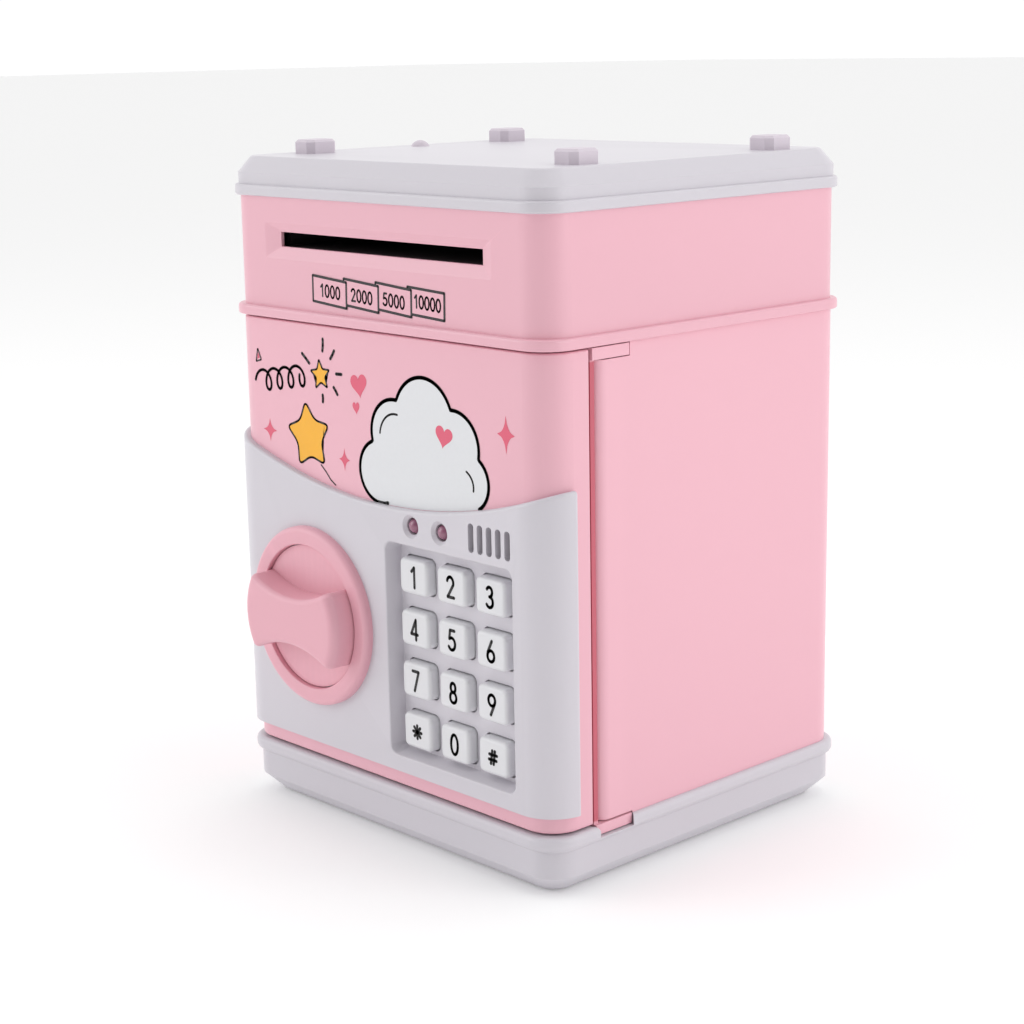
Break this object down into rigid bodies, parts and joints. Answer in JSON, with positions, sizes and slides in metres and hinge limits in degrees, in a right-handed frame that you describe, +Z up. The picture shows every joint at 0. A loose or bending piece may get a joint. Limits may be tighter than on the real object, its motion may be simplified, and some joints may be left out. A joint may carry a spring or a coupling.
{
  "type": "toy safe coin bank",
  "caption": "Upright pink toy safe coin bank with a hinged front door, turning knob, press-key pad, wide note slot in the upper body, white lid and white base.",
  "frame": {"origin": "on the resting plane, under the middle of the overall box (knob included)", "axes": "+Z up, -Y out of the front (door side), +X to the right seen from the front (hinge side)"},
  "size_m": [0.133, 0.1306, 0.1924],
  "materials": {
    "pink_abs": "satin",
    "pink_abs_knob": "satin",
    "white_abs": "satin",
    "key_abs": "satin",
    "pad_abs": "satin",
    "rubber_grey": "matte",
    "rubber_black": "matte",
    "silicone": "matte",
    "steel": "brushed",
    "zinc_steel": "satin",
    "spring_steel": "polished",
    "pcb": "satin",
    "lamp_lens": "glossy",
    "pom_white": "satin",
    "pom_black": "satin",
    "cell_wrap": "glossy",
    "speaker_black": "matte",
    "solenoid_mix": "satin",
    "dark_abs": "satin"
  },
  "bodies": {
    "case": {"base": "white_abs", "base_plate": "white_abs", "base_feet": "rubber_grey", "base_screws": "zinc_steel", "batteries": "cell_wrap", "battery_contacts": "spring_steel", "lower_body": "pink_abs", "hinge_pins": "steel", "upper_body": "pink_abs", "top_lid": "white_abs", "lid_pads": "pad_abs", "lid_nub": "pad_abs", "lid_screws": "zinc_steel", "feeder_frame": "dark_abs", "feeder_motor": "steel", "main_board": "pcb"},
    "battery_hatch": {"battery_cover": "white_abs", "cover_screw": "zinc_steel"},
    "door": {"door_shell": "pink_abs", "door_panel": "white_abs", "keypad_membrane": "silicone", "door_board": "pcb", "lamp_left": "lamp_lens", "lamp_right": "lamp_lens", "speaker": "speaker_black", "door_inner_cover": "pink_abs", "door_screws": "zinc_steel", "knob_ring": "pink_abs_knob", "solenoid": "solenoid_mix"},
    "knob_turning": {"knob": "pink_abs_knob", "latch_shaft": "pom_white", "latch_arm": "pom_white", "latch_screw": "zinc_steel"},
    "plunger_sliding": {"solenoid_plunger": "steel", "plunger_spring": "spring_steel"},
    "feed_drive": {"drive_shaft": "steel", "drive_tyres": "rubber_black", "drive_gear": "pom_white"},
    "feed_pinion": {"motor_pinion": "pom_white"},
    "feed_pinch": {"pinch_roller": "pom_black"},
    "button_1": {"key_1": "key_abs"},
    "button_2": {"key_2": "key_abs"},
    "button_3": {"key_3": "key_abs"},
    "button_4": {"key_4": "key_abs"},
    "button_5": {"key_5": "key_abs"},
    "button_6": {"key_6": "key_abs"},
    "button_7": {"key_7": "key_abs"},
    "button_8": {"key_8": "key_abs"},
    "button_9": {"key_9": "key_abs"},
    "button_star": {"key_star": "key_abs"},
    "button_0": {"key_0": "key_abs"},
    "button_hash": {"key_hash": "key_abs"}
  },
  "joints": [
    {"name": "door_hinge", "type": "hinge", "parent": "case", "child": "door", "pos_m": [0.0606, -0.03134, 0.08], "axis": [0, 0, 1], "range_deg": [0, 100]},
    {"name": "knob_turn", "type": "hinge", "parent": "door", "child": "knob_turning", "pos_m": [-0.0293, -0.05593, 0.0605], "axis": [0, -1, 0], "range_deg": [0, 90]},
    {"name": "plunger_slide", "type": "slide", "parent": "door", "child": "plunger_sliding", "axis": [0, 0, -1], "range_m": [0, 0.003], "deforming": ["plunger_spring"]},
    {"name": "battery_cover_lift", "type": "slide", "parent": "case", "child": "battery_hatch", "axis": [0, 0, -1], "range_m": [0, 0.02]},
    {"name": "drive_spin", "type": "hinge", "parent": "case", "child": "feed_drive", "pos_m": [0, -0.01594, 0.16135], "axis": [1, 0, 0], "continuous": true},
    {"name": "pinion_spin", "type": "hinge", "parent": "case", "child": "feed_pinion", "pos_m": [0.046, -0.00179, 0.157], "axis": [1, 0, 0], "continuous": true},
    {"name": "pinch_spin", "type": "hinge", "parent": "case", "child": "feed_pinch", "pos_m": [0, -0.01594, 0.16975], "axis": [1, 0, 0], "continuous": true},
    {"name": "press_1", "type": "slide", "parent": "door", "child": "button_1", "axis": [0, 1, 0], "range_m": [0, 0.0012], "stiffness_N_per_m": 900, "springref_m": -0.0004},
    {"name": "press_2", "type": "slide", "parent": "door", "child": "button_2", "axis": [0, 1, 0], "range_m": [0, 0.0012], "stiffness_N_per_m": 900, "springref_m": -0.0004},
    {"name": "press_3", "type": "slide", "parent": "door", "child": "button_3", "axis": [0, 1, 0], "range_m": [0, 0.0012], "stiffness_N_per_m": 900, "springref_m": -0.0004},
    {"name": "press_4", "type": "slide", "parent": "door", "child": "button_4", "axis": [0, 1, 0], "range_m": [0, 0.0012], "stiffness_N_per_m": 900, "springref_m": -0.0004},
    {"name": "press_5", "type": "slide", "parent": "door", "child": "button_5", "axis": [0, 1, 0], "range_m": [0, 0.0012], "stiffness_N_per_m": 900, "springref_m": -0.0004},
    {"name": "press_6", "type": "slide", "parent": "door", "child": "button_6", "axis": [0, 1, 0], "range_m": [0, 0.0012], "stiffness_N_per_m": 900, "springref_m": -0.0004},
    {"name": "press_7", "type": "slide", "parent": "door", "child": "button_7", "axis": [0, 1, 0], "range_m": [0, 0.0012], "stiffness_N_per_m": 900, "springref_m": -0.0004},
    {"name": "press_8", "type": "slide", "parent": "door", "child": "button_8", "axis": [0, 1, 0], "range_m": [0, 0.0012], "stiffness_N_per_m": 900, "springref_m": -0.0004},
    {"name": "press_9", "type": "slide", "parent": "door", "child": "button_9", "axis": [0, 1, 0], "range_m": [0, 0.0012], "stiffness_N_per_m": 900, "springref_m": -0.0004},
    {"name": "press_star", "type": "slide", "parent": "door", "child": "button_star", "axis": [0, 1, 0], "range_m": [0, 0.0012], "stiffness_N_per_m": 900, "springref_m": -0.0004},
    {"name": "press_0", "type": "slide", "parent": "door", "child": "button_0", "axis": [0, 1, 0], "range_m": [0, 0.0012], "stiffness_N_per_m": 900, "springref_m": -0.0004},
    {"name": "press_hash", "type": "slide", "parent": "door", "child": "button_hash", "axis": [0, 1, 0], "range_m": [0, 0.0012], "stiffness_N_per_m": 900, "springref_m": -0.0004}
  ],
  "couplings": [
    {"joint": "pinion_spin", "follows": "drive_spin", "ratio": -3.2},
    {"joint": "pinch_spin", "follows": "drive_spin", "ratio": -1.2857}
  ]
}
